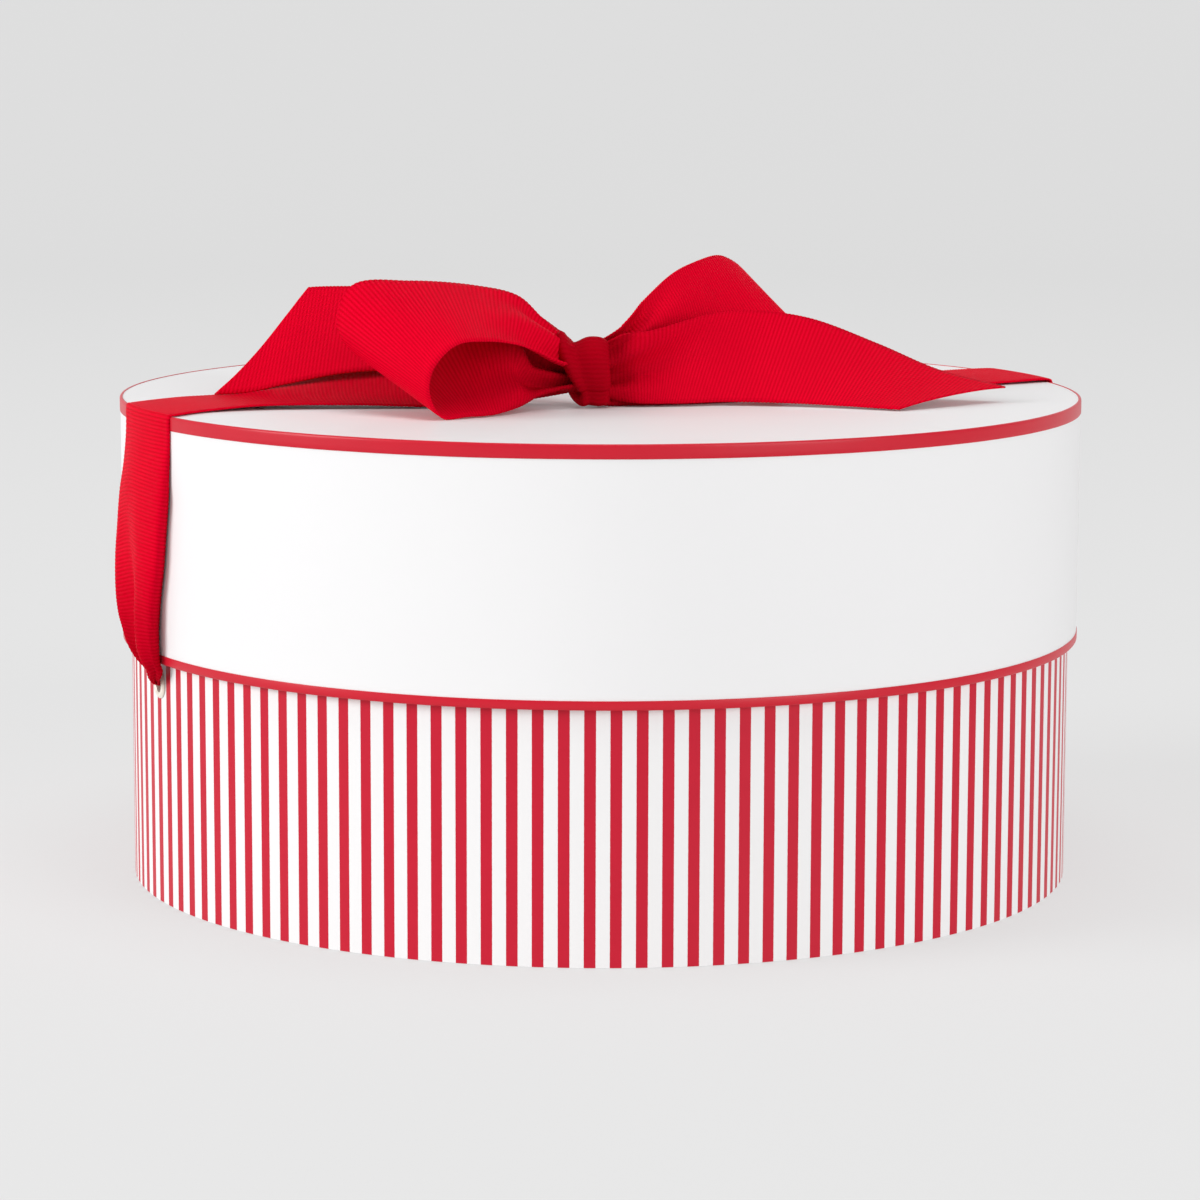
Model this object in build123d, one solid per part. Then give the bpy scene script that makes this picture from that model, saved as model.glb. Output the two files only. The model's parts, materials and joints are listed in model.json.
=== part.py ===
from build123d import *
import math
import os

# Round hat box: greyboard drums covered in paper, a deep lift-off lid, and a ribbon
# that comes out of an eyelet on each side, over the lid, and is tied in a bow on top.
# +X runs through the right eyelet, +Z is up, the origin is the centre of the underside.
# All sizes are in millimetres.

LID_DIAMETER = 330.0
TOTAL_HEIGHT = 165.0
LID_DEPTH = 82.7

BOARD = 1.8
PAPER = 0.2
DISC_FIT = 0.05
LID_REST_GAP = 0.4
DRILL_OVERRUN = 5.0

LID_OUTER_R = LID_DIAMETER / 2
LID_BOARD_OUTER_R = LID_OUTER_R - PAPER
LID_BOARD_INNER_R = LID_BOARD_OUTER_R - BOARD
LID_INNER_R = LID_BOARD_INNER_R - PAPER
EDGING_OUTER_R = LID_OUTER_R + PAPER

LID_FOOT_Z = TOTAL_HEIGHT - LID_DEPTH
LID_BOARD_FOOT_Z = LID_FOOT_Z + PAPER
LID_PAPER_TOP_Z = TOTAL_HEIGHT - PAPER
LID_BOARD_TOP_Z = LID_PAPER_TOP_Z - PAPER
LID_CEILING_Z = LID_BOARD_TOP_Z - BOARD
LID_LINING_Z = LID_CEILING_Z - PAPER

TOP_EDGING_DROP = 4.4
TOP_EDGING_FLANGE = 2.1
BOTTOM_EDGING_RISE = 3.0
BOTTOM_EDGING_TURN_IN = 8.0

BASE_OUTER_R = 162.2
BASE_BOARD_OUTER_R = BASE_OUTER_R - PAPER
BASE_BOARD_INNER_R = BASE_BOARD_OUTER_R - BOARD
BASE_INNER_R = BASE_BOARD_INNER_R - PAPER
BASE_RIM_Z = LID_LINING_Z - LID_REST_GAP
BASE_BOARD_FOOT_Z = 2 * PAPER
BASE_FLOOR_Z = BASE_BOARD_FOOT_Z + BOARD
WRAP_TURN_UNDER = 12.0
WRAP_TURN_IN = 12.0
UNDERSIDE_PAPER_R = 158.0

EYELET_Z = 74.0
EYELET_BORE_R = 2.5
EYELET_BARREL_R = 3.0
EYELET_HOLE_R = 3.05
EYELET_FLANGE_R = 4.5
EYELET_PROUD = 0.9
EYELET_ROLL_R = 3.9
EYELET_SEAT = 0.1
EYELET_ROLL_DEPTH = 0.5
EYELET_LIP = 0.35
EYELET_CROWN = 0.6
EYELET_DIP = 0.1
EYELET_WASHER_GAP = 0.02
WASHER_OUTER_R = 5.2
WASHER_THICK = 0.4
WASHER_SET_IN = 0.1

RIBBON_WIDTH = 44.0
RIBBON_SOLID_THICK = 0.8
DROP_CLEARANCE = 0.5
DROP_INNER_R = EDGING_OUTER_R + DROP_CLEARANCE
DROP_NECK_R = 2.3
DROP_NECK_START = 4.0
DROP_NECK_END = 1.0
DROP_TOP_GAP = 0.6
DROP_TOP_Z = TOTAL_HEIGHT - DROP_TOP_GAP
RIGHT_RIM_SHIFT = -4.0
LEFT_RIM_SHIFT = -1.3

# height above the eyelet, thickness, width, and the share of the rim shift
DROP_GATHER = [
    (-DROP_NECK_R, 2.0, 5.0, 0.0),
    (4.0, 2.4, 10.0, 0.0),
    (14.0, 2.0, 30.0, 0.2),
    (27.0, RIBBON_SOLID_THICK, RIBBON_WIDTH, 0.4),
]

STOP_KNOT_SIZE = (13.0, 14.0, 15.0)
STOP_KNOT_ROUND = 4.0
STOP_KNOT_STANDOFF = 3.0
STOP_KNOT_BORE = 12.0
STOP_KNOT_FIT = 0.05

BOW_TURN = -26.0
BOW_KNOT_CENTRE = (-5.0, -50.0, 12.0)
BOW_KNOT_SIZE = (16.0, 16.0, 22.0)
BOW_KNOT_ROUND = 5.0


def ring(outer_r, inner_r, foot_z, top_z):
    height = top_z - foot_z
    outer = Cylinder(outer_r, height, align=(Align.CENTER, Align.CENTER, Align.MIN))
    inner = Cylinder(inner_r, height, align=(Align.CENTER, Align.CENTER, Align.MIN))
    return Pos(0, 0, foot_z) * (outer - inner)


def disc(radius, foot_z, top_z):
    height = top_z - foot_z
    return Pos(0, 0, foot_z) * Cylinder(radius, height, align=(Align.CENTER, Align.CENTER, Align.MIN))


def along_x(radius, x_start, x_end):
    # a round bar on the eyelet axis
    length = x_end - x_start
    bar = Cylinder(radius, length, align=(Align.CENTER, Align.CENTER, Align.MIN))
    return Pos(x_start, 0, EYELET_Z) * Rot(0, 90, 0) * bar


def with_eyelet_holes(solid):
    reach = BASE_OUTER_R + DRILL_OVERRUN
    drill = along_x(EYELET_HOLE_R, -reach, reach)
    return solid - drill


def other_side(solid):
    # half a turn about the box's axis
    return Rot(0, 0, 180) * solid


# Base drum

def base_wall_board():
    wall = ring(BASE_BOARD_OUTER_R, BASE_BOARD_INNER_R, BASE_BOARD_FOOT_Z, BASE_RIM_Z - PAPER)
    return with_eyelet_holes(wall)


def base_floor_board():
    return disc(BASE_BOARD_INNER_R - DISC_FIT, BASE_BOARD_FOOT_Z, BASE_FLOOR_Z)


def base_striped_wrap():
    side = ring(BASE_OUTER_R, BASE_BOARD_OUTER_R, PAPER, BASE_RIM_Z)
    under = ring(BASE_OUTER_R, BASE_OUTER_R - WRAP_TURN_UNDER, PAPER, BASE_BOARD_FOOT_Z)
    rim = ring(BASE_OUTER_R, BASE_INNER_R, BASE_RIM_Z - PAPER, BASE_RIM_Z)
    inside = ring(BASE_BOARD_INNER_R, BASE_INNER_R, BASE_RIM_Z - WRAP_TURN_IN, BASE_RIM_Z)
    return with_eyelet_holes(side + under + rim + inside)


def base_underside_paper():
    return disc(UNDERSIDE_PAPER_R, 0, PAPER)


def base_wall_lining():
    lining = ring(BASE_BOARD_INNER_R, BASE_INNER_R, BASE_FLOOR_Z, BASE_RIM_Z - WRAP_TURN_IN)
    return with_eyelet_holes(lining)


def base_floor_lining():
    return disc(BASE_INNER_R - DISC_FIT, BASE_FLOOR_Z, BASE_FLOOR_Z + PAPER)


def right_eyelet():
    # one revolved profile: domed flange outside, barrel through the wall, rolled end inside
    outside_x = BASE_OUTER_R + EYELET_SEAT
    crest_x = outside_x + EYELET_PROUD
    inside_x = BASE_INNER_R - WASHER_SET_IN - WASHER_THICK
    roll_x = inside_x - EYELET_ROLL_DEPTH
    lip_x = inside_x - EYELET_WASHER_GAP
    outline = [
        (EYELET_BORE_R, roll_x + EYELET_DIP),
        (EYELET_BORE_R, crest_x - EYELET_LIP),
        (EYELET_BARREL_R, crest_x),
        (EYELET_FLANGE_R - EYELET_CROWN, crest_x - EYELET_DIP),
        (EYELET_FLANGE_R, outside_x + EYELET_LIP),
        (EYELET_FLANGE_R, outside_x),
        (EYELET_BARREL_R, outside_x),
        (EYELET_BARREL_R, lip_x),
        (EYELET_ROLL_R, lip_x),
        (EYELET_ROLL_R - EYELET_LIP, roll_x),
        (EYELET_BORE_R + EYELET_DIP, roll_x - EYELET_DIP),
    ]
    profile = make_face(Polyline(*[(r, 0, x) for r, x in outline], close=True))
    solid = revolve(profile, Axis.Z)
    return Pos(0, 0, EYELET_Z) * Rot(0, 90, 0) * solid


def right_eyelet_washer():
    x_out = BASE_INNER_R - WASHER_SET_IN
    outer = along_x(WASHER_OUTER_R, x_out - WASHER_THICK, x_out)
    inner = along_x(EYELET_HOLE_R, x_out - DRILL_OVERRUN, x_out + DRILL_OVERRUN)
    return outer - inner


# Lid drum

def lid_wall_board():
    return ring(LID_BOARD_OUTER_R, LID_BOARD_INNER_R, LID_BOARD_FOOT_Z, LID_BOARD_TOP_Z)


def lid_top_board():
    return disc(LID_BOARD_INNER_R - DISC_FIT, LID_CEILING_Z, LID_BOARD_TOP_Z)


def lid_side_wrap():
    return ring(LID_OUTER_R, LID_BOARD_OUTER_R, LID_BOARD_FOOT_Z, LID_PAPER_TOP_Z)


def lid_top_paper():
    return disc(LID_BOARD_OUTER_R, LID_BOARD_TOP_Z, LID_PAPER_TOP_Z)


def lid_top_edging():
    side = ring(EDGING_OUTER_R, LID_OUTER_R, TOTAL_HEIGHT - TOP_EDGING_DROP, TOTAL_HEIGHT)
    flange = ring(EDGING_OUTER_R, LID_OUTER_R - TOP_EDGING_FLANGE, LID_PAPER_TOP_Z, TOTAL_HEIGHT)
    return side + flange


def lid_bottom_edging():
    side = ring(EDGING_OUTER_R, LID_OUTER_R, LID_FOOT_Z, LID_FOOT_Z + BOTTOM_EDGING_RISE)
    under = ring(EDGING_OUTER_R, LID_INNER_R, LID_FOOT_Z, LID_BOARD_FOOT_Z)
    inside = ring(LID_BOARD_INNER_R, LID_INNER_R, LID_FOOT_Z, LID_FOOT_Z + BOTTOM_EDGING_TURN_IN)
    return side + under + inside


def lid_wall_lining():
    foot = LID_FOOT_Z + BOTTOM_EDGING_TURN_IN
    return ring(LID_BOARD_INNER_R, LID_INNER_R, foot, LID_LINING_Z)


def lid_top_lining():
    return disc(LID_BOARD_INNER_R - DISC_FIT, LID_LINING_Z, LID_CEILING_Z)


# Ribbon down the sides

def drop_section(z, thick, width, azimuth):
    # a slice of ribbon that follows the wall, at height z
    inner_r = DROP_INNER_R
    outer_r = inner_r + thick
    half = math.degrees(width / 2 / inner_r)

    def at(radius, degrees):
        angle = math.radians(degrees)
        return Vector(radius * math.cos(angle), radius * math.sin(angle), z)

    low = azimuth - half
    high = azimuth + half
    outline = [
        ThreePointArc(at(inner_r, low), at(inner_r, azimuth), at(inner_r, high)),
        Line(at(inner_r, high), at(outer_r, high)),
        ThreePointArc(at(outer_r, high), at(outer_r, azimuth), at(outer_r, low)),
        Line(at(outer_r, low), at(inner_r, low)),
    ]
    return make_face(outline)


def ribbon_drop(rim_azimuth):
    # gathered at the eyelet, full width above; rim_azimuth is where it meets the lid's rim
    gather = []
    for rise, thick, width, share in DROP_GATHER:
        gather.append(drop_section(EYELET_Z + rise, thick, width, rim_azimuth * share))
    top = drop_section(DROP_TOP_Z, RIBBON_SOLID_THICK, RIBBON_WIDTH, rim_azimuth)
    lower = loft(gather, ruled=True)
    upper = loft([gather[-1], top], ruled=True)
    neck = along_x(DROP_NECK_R, BASE_INNER_R - DROP_NECK_START, DROP_INNER_R + DROP_NECK_END)
    return lower + upper + neck


def right_stop_knot():
    size_x, size_y, size_z = STOP_KNOT_SIZE
    knot = Box(size_x, size_y, size_z)
    knot = fillet(knot.edges(), STOP_KNOT_ROUND)
    neck = along_x(DROP_NECK_R + STOP_KNOT_FIT, BASE_INNER_R - STOP_KNOT_BORE, BASE_OUTER_R)
    centre_x = BASE_INNER_R - STOP_KNOT_STANDOFF - size_x / 2
    return Pos(centre_x, 0, EYELET_Z) * knot - neck


# Ribbon over the lid and the bow

# Each soft strip is a list of stations. A station is the near edge and the far edge of
# the ribbon, as x to the right, y to the back and z above the lid, in the bow's own
# axes, which are the box's axes turned by BOW_TURN.

LEFT_RUN = [
    ((-139, -85, 0.8), (-157, -43, 0.8)),
    ((-128, -73, 0.8), (-143, -31, 0.8)),
    ((-114, -65, 1.2), (-125, -22, 0.9)),
    ((-98, -62, 1.4), (-105, -22, 4.0)),
    ((-80, -60, 1.2), (-85, -22, 7.6)),
    ((-52, -57, 0.9), (-54, -28, 6.0)),
    ((-28, -51, 1.2), (-28, -37, 4.0)),
    ((-7, -50, 2.0), (-7, -45, 4.0)),
]

RIGHT_RUN = [
    ((156, 40, 0.8), (142, 81, 0.8)),
    ((132, 24, 0.8), (116, 64, 0.8)),
    ((98, 3, 0.8), (90, 38, 0.8)),
    ((62, -18, 0.8), (58, 8, 0.8)),
    ((28, -38, 0.9), (26, -23, 0.9)),
    ((-1, -50, 1.6), (-1, -45, 1.8)),
]

LEFT_LOOP = [
    ((-7, -56, 13), (-7, -47, 18)),
    ((-14, -61, 16), (-13, -45, 23)),
    ((-21, -69, 20), (-20, -43, 29)),
    ((-28, -77, 23), (-28, -42, 36)),
    ((-37, -84, 24.5), (-42, -43, 39)),
    ((-47, -90, 23.5), (-63, -53, 41.5)),
    ((-54, -94, 16), (-82, -61, 40.5)),
    ((-55, -96, 8), (-86, -68, 27)),
    ((-51, -95, 1.0), (-76, -64, 16)),
    ((-43, -89, 0.8), (-62, -54, 20)),
    ((-34, -82, 0.8), (-44, -52, 27)),
    ((-27, -72, 1.8), (-29, -55, 26)),
    ((-22, -62, 3.5), (-25, -50, 20)),
    ((-14, -56, 5), (-15, -48, 15)),
    ((-7, -54, 6), (-7, -46, 10)),
]

RIGHT_LOOP = [
    ((-1, -46, 13), (-1, -42, 19)),
    ((6, -40, 14), (6, -36, 24.5)),
    ((18, -37, 11), (15, -26, 32)),
    ((34, -31, 12), (24, -12, 40)),
    ((48, -20, 17), (33, 3, 45)),
    ((60, -10, 25), (43, 20, 46)),
    ((66, -6, 25), (50, 26, 40)),
    ((65, -4, 15), (50, 27, 30)),
    ((59, -12, 4), (43, 18, 17)),
    ((34, -30, 2.4), (22, -6, 11)),
    ((6, -41, 5), (6, -36, 10)),
    ((-1, -46, 5), (-1, -42, 9)),
]

LEFT_TAIL = [
    ((-7, -45, 8), (-7, -41, 17)),
    ((-26, -34, 9), (-26, -18, 30)),
    ((-56, -28, 10.5), (-56, 2, 36)),
    ((-85, -30, 9.6), (-80, 6, 35.6)),
    ((-108, -29, 5.4), (-94, 6, 35)),
    ((-135, -27, 2.4), (-103, 6, 34.6)),
]

RIGHT_TAIL = [
    ((-1, -52, 3), (-1, -50, 18)),
    ((5, -50, 2), (5, -48, 22.5)),
    ((14, -51, 1.2), (16, -46, 24.5)),
    ((27, -49, 1.2), (37, -27, 29)),
    ((42, -46, 1.4), (53, -18, 29.5)),
    ((60, -48, 1.4), (72, -13, 26.5)),
    ((80, -54, 1.2), (92, -13, 20)),
    ((90, -59, 0.9), (114, -13, 12)),
    ((99, -64, 0.9), (137, -12, 4)),
]


def bow_place(point):
    x, y, z = point
    turned = Vector(x, y, 0).rotate(Axis.Z, BOW_TURN)
    return Vector(turned.X, turned.Y, z + TOTAL_HEIGHT)


def strip_section(near, far, onward, thick):
    # a thin rectangle across the ribbon, square to its run
    across = (far - near).normalized()
    lift = onward.cross(across).normalized() * (thick / 2)
    return Wire(Polyline(near - lift, far - lift, far + lift, near + lift, close=True).edges())


def ribbon_strip(stations, thick):
    near = [bow_place(station[0]) for station in stations]
    far = [bow_place(station[1]) for station in stations]
    middle = [(a + b) * 0.5 for a, b in zip(near, far)]
    last = len(middle) - 1
    sections = []
    for i in range(last + 1):
        onward = middle[min(i + 1, last)] - middle[max(i - 1, 0)]
        sections.append(strip_section(near[i], far[i], onward, thick))
    lengths = [Solid.make_loft(pair, ruled=True) for pair in zip(sections, sections[1:])]
    return lengths[0].fuse(*lengths[1:])


def bow_knot():
    knot = Box(*BOW_KNOT_SIZE)
    knot = fillet(knot.edges(), BOW_KNOT_ROUND)
    place = bow_place(BOW_KNOT_CENTRE)
    return Pos(place.X, place.Y, place.Z) * Rot(0, 0, BOW_TURN) * knot


def bow_strip(stations):
    return ribbon_strip(stations, RIBBON_SOLID_THICK) - bow_knot()


def sub_parts():
    return {
        "base_wall_board": base_wall_board(),
        "base_floor_board": base_floor_board(),
        "base_striped_wrap": base_striped_wrap(),
        "base_underside_paper": base_underside_paper(),
        "base_wall_lining": base_wall_lining(),
        "base_floor_lining": base_floor_lining(),
        "right_eyelet": right_eyelet(),
        "left_eyelet": other_side(right_eyelet()),
        "right_eyelet_washer": right_eyelet_washer(),
        "left_eyelet_washer": other_side(right_eyelet_washer()),
        "right_ribbon_drop": ribbon_drop(RIGHT_RIM_SHIFT),
        "left_ribbon_drop": other_side(ribbon_drop(LEFT_RIM_SHIFT)),
        "right_stop_knot": right_stop_knot(),
        "left_stop_knot": other_side(right_stop_knot()),
        "lid_wall_board": lid_wall_board(),
        "lid_top_board": lid_top_board(),
        "lid_side_wrap": lid_side_wrap(),
        "lid_top_paper": lid_top_paper(),
        "lid_top_edging": lid_top_edging(),
        "lid_bottom_edging": lid_bottom_edging(),
        "lid_wall_lining": lid_wall_lining(),
        "lid_top_lining": lid_top_lining(),
        "left_ribbon_run": bow_strip(LEFT_RUN),
        "right_ribbon_run": bow_strip(RIGHT_RUN),
        "bow_knot": bow_knot(),
        "bow_left_loop": bow_strip(LEFT_LOOP),
        "bow_right_loop": bow_strip(RIGHT_LOOP),
        "bow_left_tail": bow_strip(LEFT_TAIL),
        "bow_right_tail": bow_strip(RIGHT_TAIL),
    }


os.makedirs("parts", exist_ok=True)
for name, solid in sub_parts().items():
    export_step(solid, os.path.join("parts", name + ".step"))
    print(name, round(solid.volume, 1))
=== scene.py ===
import json
import math
import bpy
import numpy as np
from mathutils import Matrix, Vector


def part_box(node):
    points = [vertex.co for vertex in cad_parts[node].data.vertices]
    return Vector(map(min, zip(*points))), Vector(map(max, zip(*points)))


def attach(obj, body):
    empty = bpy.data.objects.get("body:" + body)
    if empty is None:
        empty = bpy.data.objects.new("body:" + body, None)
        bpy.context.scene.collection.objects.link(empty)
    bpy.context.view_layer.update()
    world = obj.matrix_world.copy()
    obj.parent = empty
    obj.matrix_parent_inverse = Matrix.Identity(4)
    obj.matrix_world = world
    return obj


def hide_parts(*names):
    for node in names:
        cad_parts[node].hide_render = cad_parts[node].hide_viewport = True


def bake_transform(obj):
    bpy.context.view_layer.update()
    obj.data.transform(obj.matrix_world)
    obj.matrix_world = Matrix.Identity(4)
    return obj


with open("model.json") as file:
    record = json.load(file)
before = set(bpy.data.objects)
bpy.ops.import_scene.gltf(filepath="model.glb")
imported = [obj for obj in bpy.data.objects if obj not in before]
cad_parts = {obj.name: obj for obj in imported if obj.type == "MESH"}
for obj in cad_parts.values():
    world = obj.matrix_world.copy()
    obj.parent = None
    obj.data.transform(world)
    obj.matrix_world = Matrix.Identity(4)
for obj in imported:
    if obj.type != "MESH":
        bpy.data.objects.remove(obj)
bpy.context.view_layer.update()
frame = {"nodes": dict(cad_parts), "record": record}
print("hat box: frame loaded,", len(frame["nodes"]), "nodes")

# Lengths in the dictionaries are millimetres unless a note says otherwise.
# "Photo side" means the side of the box that the camera looks at.

mm = 0.001
view = {
    "turn": -26.0,  # degrees from -Y round to the photo side
    "distance": 1396.0,
    "height": 302.0,
    "lookDown": 8.55,
    "roll": 0.16,
    "lens": 121.5,
}

edgingLow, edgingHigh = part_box("lid_top_edging")
lidTop = edgingHigh[2] / mm
rimRadius = edgingHigh[0] / mm
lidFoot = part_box("lid_bottom_edging")[0][2] / mm
eyeletLow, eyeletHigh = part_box("left_eyelet")
eyeletZ = (eyeletLow[2] + eyeletHigh[2]) / 2 / mm


def photoSide(x, y, z=0.0):
    # x to the right, y away from the camera, in the box's own axes
    a = math.radians(view["turn"])
    return np.array([x * math.cos(a) - y * math.sin(a), x * math.sin(a) + y * math.cos(a), z])


def onLid(x, y, z):
    # a point z above the lid's top
    return photoSide(x, y, z + lidTop)


# Camera, floor and light


def makeCamera():
    data = bpy.data.cameras.new("photoCamera")
    data.lens = view["lens"]
    data.sensor_width = 36.0
    data.clip_end = 50.0
    camera = bpy.data.objects.new("photoCamera", data)
    bpy.context.collection.objects.link(camera)
    place = Vector(photoSide(0, -view["distance"], view["height"])) * mm
    down = math.radians(view["lookDown"])
    ahead = Vector(photoSide(0, math.cos(down), -math.sin(down)))
    turn = ahead.to_track_quat("-Z", "Y").to_matrix() @ Matrix.Rotation(math.radians(view["roll"]), 3, "Z")
    camera.matrix_world = Matrix.Translation(place) @ turn.to_4x4()
    bpy.context.scene.camera = camera


def newMaterial(name):
    material = bpy.data.materials.new(name)
    material.use_nodes = True
    nodes = material.node_tree.nodes
    return material, nodes, material.node_tree.links, nodes["Principled BSDF"]


def addNode(nodes, kind, **settings):
    node = nodes.new(kind)
    for key, value in settings.items():
        setattr(node, key, value)
    return node


def mathNode(nodes, links, operation, first, second=None, third=None):
    node = addNode(nodes, "ShaderNodeMath", operation=operation)
    for socket, value in zip(node.inputs, (first, second, third)):
        if value is None:
            continue
        if hasattr(value, "links"):
            links.new(value, socket)
        else:
            socket.default_value = value
    return node.outputs[0]


def mixColors(nodes, links, share, first, second):
    node = addNode(nodes, "ShaderNodeMix", data_type="RGBA")
    for socket, value in zip((node.inputs[0], node.inputs[6], node.inputs[7]), (share, first, second)):
        if hasattr(value, "links"):
            links.new(value, socket)
        elif isinstance(value, tuple):
            socket.default_value = (*value, 1.0)
        else:
            socket.default_value = value
    return node.outputs[2]


def noiseNode(nodes, links, coords, scale, detail=2.0, roughness=0.5):
    node = addNode(nodes, "ShaderNodeTexNoise")
    node.inputs["Scale"].default_value = scale
    node.inputs["Detail"].default_value = detail
    node.inputs["Roughness"].default_value = roughness
    links.new(coords, node.inputs["Vector"])
    return node.outputs["Fac"]


def bumpNode(nodes, links, height, distance, strength=1.0, under=None):
    node = addNode(nodes, "ShaderNodeBump")
    node.inputs["Distance"].default_value = distance
    node.inputs["Strength"].default_value = strength
    links.new(height, node.inputs["Height"])
    if under is not None:
        links.new(under, node.inputs["Normal"])
    return node.outputs["Normal"]


def stretchTo(nodes, links, value, fromLow, fromHigh, toLow, toHigh):
    node = addNode(nodes, "ShaderNodeMapRange", clamp=True)
    links.new(value, node.inputs[0])
    for i, limit in enumerate((fromLow, fromHigh, toLow, toHigh)):
        node.inputs[i + 1].default_value = limit
    return node.outputs[0]


studio = {
    "floorWhite": 0.24,
    "floorGlow": 0.55,
    "worldWhite": 0.36,
    "sweep": {"halfWidth": 9.0, "front": -5.0, "bendStart": 3.0, "top": 4.0, "steps": 24},  # metres
    "aim": (0.0, 0.0, 0.1),
    "lights": {
        "keyLight": {"power": 132.0, "size": 2.6, "place": (-4.0, -1.2, 1.6)},
        "fillLight": {"power": 84.0, "size": 3.0, "place": (2.9, -3.1, 1.1)},
        "topLight": {"power": 56.0, "size": 2.6, "place": (0.2, -0.4, 4.0)},
    },
}


def makeStage():
    # a sweep: flat floor that curves up into a backdrop
    shape = studio["sweep"]
    bendRadius = shape["top"] * 0.5
    outline = [(shape["front"], 0.0)]
    for i in range(shape["steps"] + 1):
        a = math.radians(90 * i / shape["steps"])
        outline.append((shape["bendStart"] + bendRadius * math.sin(a), bendRadius * (1 - math.cos(a))))
    outline.append((shape["bendStart"] + bendRadius, shape["top"]))
    points = []
    for along, up in outline:
        points.append(photoSide(-shape["halfWidth"], along, up))
        points.append(photoSide(shape["halfWidth"], along, up))
    faces = [(2 * i, 2 * i + 1, 2 * i + 3, 2 * i + 2) for i in range(len(outline) - 1)]
    mesh = bpy.data.meshes.new("studioSweep")
    mesh.from_pydata([tuple(p) for p in points], [], faces)
    mesh.shade_smooth()
    sweep = bpy.data.objects.new("studioSweep", mesh)
    bpy.context.collection.objects.link(sweep)
    material, nodes, links, shader = newMaterial("studioGrey")
    white = studio["floorWhite"]
    shader.inputs["Base Color"].default_value = (white, white, white, 1)
    shader.inputs["Roughness"].default_value = 0.9
    shader.inputs["Specular IOR Level"].default_value = 0.0
    shader.inputs["Emission Color"].default_value = (1, 1, 1, 1)
    shader.inputs["Emission Strength"].default_value = studio["floorGlow"]
    mesh.materials.append(material)


def softLight(name, power, size, place):
    data = bpy.data.lights.new(name, "AREA")
    data.energy = power
    data.shape = "DISK"
    data.size = size
    light = bpy.data.objects.new(name, data)
    bpy.context.collection.objects.link(light)
    place = Vector(photoSide(*place))
    aim = Vector(photoSide(*studio["aim"])) - place
    light.matrix_world = Matrix.Translation(place) @ aim.to_track_quat("-Z", "Y").to_matrix().to_4x4()


def makeLight():
    world = bpy.data.worlds.new("studioWorld")
    world.use_nodes = True
    white = studio["worldWhite"]
    world.node_tree.nodes["Background"].inputs["Color"].default_value = (white, white, white, 1)
    bpy.context.scene.world = world
    bpy.context.scene.view_settings.view_transform = "Standard"
    for name, light in studio["lights"].items():
        softLight(name, **light)


makeCamera()
makeStage()
makeLight()
print("hat box: camera, floor and lights")


# Paper, board and eyelets

stripes = {
    "count": 125,
    "redShare": 0.456,
    "firstCentre": 1.04,  # degrees from +X
    "red": (0.60, 0.012, 0.035),
    "white": (0.88, 0.87, 0.87),
    "ragged": 0.012,  # how far the ink wanders at a stripe's edge, as a share of the pitch
}


def stripedPaper():
    material, nodes, links, shader = newMaterial("stripedPaper")
    coords = addNode(nodes, "ShaderNodeTexCoord").outputs["Object"]
    axes = addNode(nodes, "ShaderNodeSeparateXYZ")
    links.new(coords, axes.inputs[0])
    angle = mathNode(nodes, links, "ARCTAN2", axes.outputs["Y"], axes.outputs["X"])
    turns = mathNode(nodes, links, "DIVIDE", angle, 2 * math.pi)
    shift = 0.5 - stripes["firstCentre"] / 360 * stripes["count"]
    stripe = mathNode(nodes, links, "MULTIPLY_ADD", turns, stripes["count"], shift)
    place = mathNode(nodes, links, "WRAP", stripe, 1.0, 0.0)
    off = mathNode(nodes, links, "ABSOLUTE", mathNode(nodes, links, "SUBTRACT", place, 0.5))
    ragged = noiseNode(nodes, links, coords, 900.0, 2.0)
    edge = mathNode(nodes, links, "MULTIPLY_ADD", ragged, stripes["ragged"], off)
    half = stripes["redShare"] / 2
    isRed = stretchTo(nodes, links, edge, half, half + stripes["ragged"], 1.0, 0.0)
    inkPatch = noiseNode(nodes, links, coords, 140.0, 3.0)
    red = stripes["red"]
    deeper = tuple(c * 0.9 for c in red)
    ink = mixColors(nodes, links, inkPatch, deeper, red)
    links.new(mixColors(nodes, links, isRed, stripes["white"], ink), shader.inputs["Base Color"])
    fibre = noiseNode(nodes, links, coords, 1400.0, 3.0, 0.6)
    board = noiseNode(nodes, links, coords, 45.0, 2.0)
    soft = bumpNode(nodes, links, board, 0.0006, 0.25)
    links.new(bumpNode(nodes, links, fibre, 0.00004, 0.5, soft), shader.inputs["Normal"])
    shader.inputs["Roughness"].default_value = 0.4
    shader.inputs["Specular IOR Level"].default_value = 0.18
    return material


def plainPaper(name, look):
    # fine fibre, slow waves of the board under it, and a slight change of tone
    material, nodes, links, shader = newMaterial(name)
    color = look["color"]
    coords = addNode(nodes, "ShaderNodeTexCoord").outputs["Object"]
    tone = noiseNode(nodes, links, coords, look["toneScale"], 3.0)
    darker = tuple(c * (1 - look["tone"]) for c in color)
    links.new(mixColors(nodes, links, tone, darker, color), shader.inputs["Base Color"])
    waves = noiseNode(nodes, links, coords, look["waveScale"], 2.0)
    fibre = noiseNode(nodes, links, coords, 1300.0, 3.0, 0.6)
    soft = bumpNode(nodes, links, waves, look["wave"] * mm, 0.3)
    links.new(bumpNode(nodes, links, fibre, look["fibre"] * mm, 0.5, soft), shader.inputs["Normal"])
    shader.inputs["Roughness"].default_value = look["roughness"]
    shader.inputs["Specular IOR Level"].default_value = look["shine"]
    if "glaze" in look:
        shader.inputs["Coat Weight"].default_value = look["glaze"]
        shader.inputs["Coat Roughness"].default_value = look["glazeRoughness"]
    return material


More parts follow.
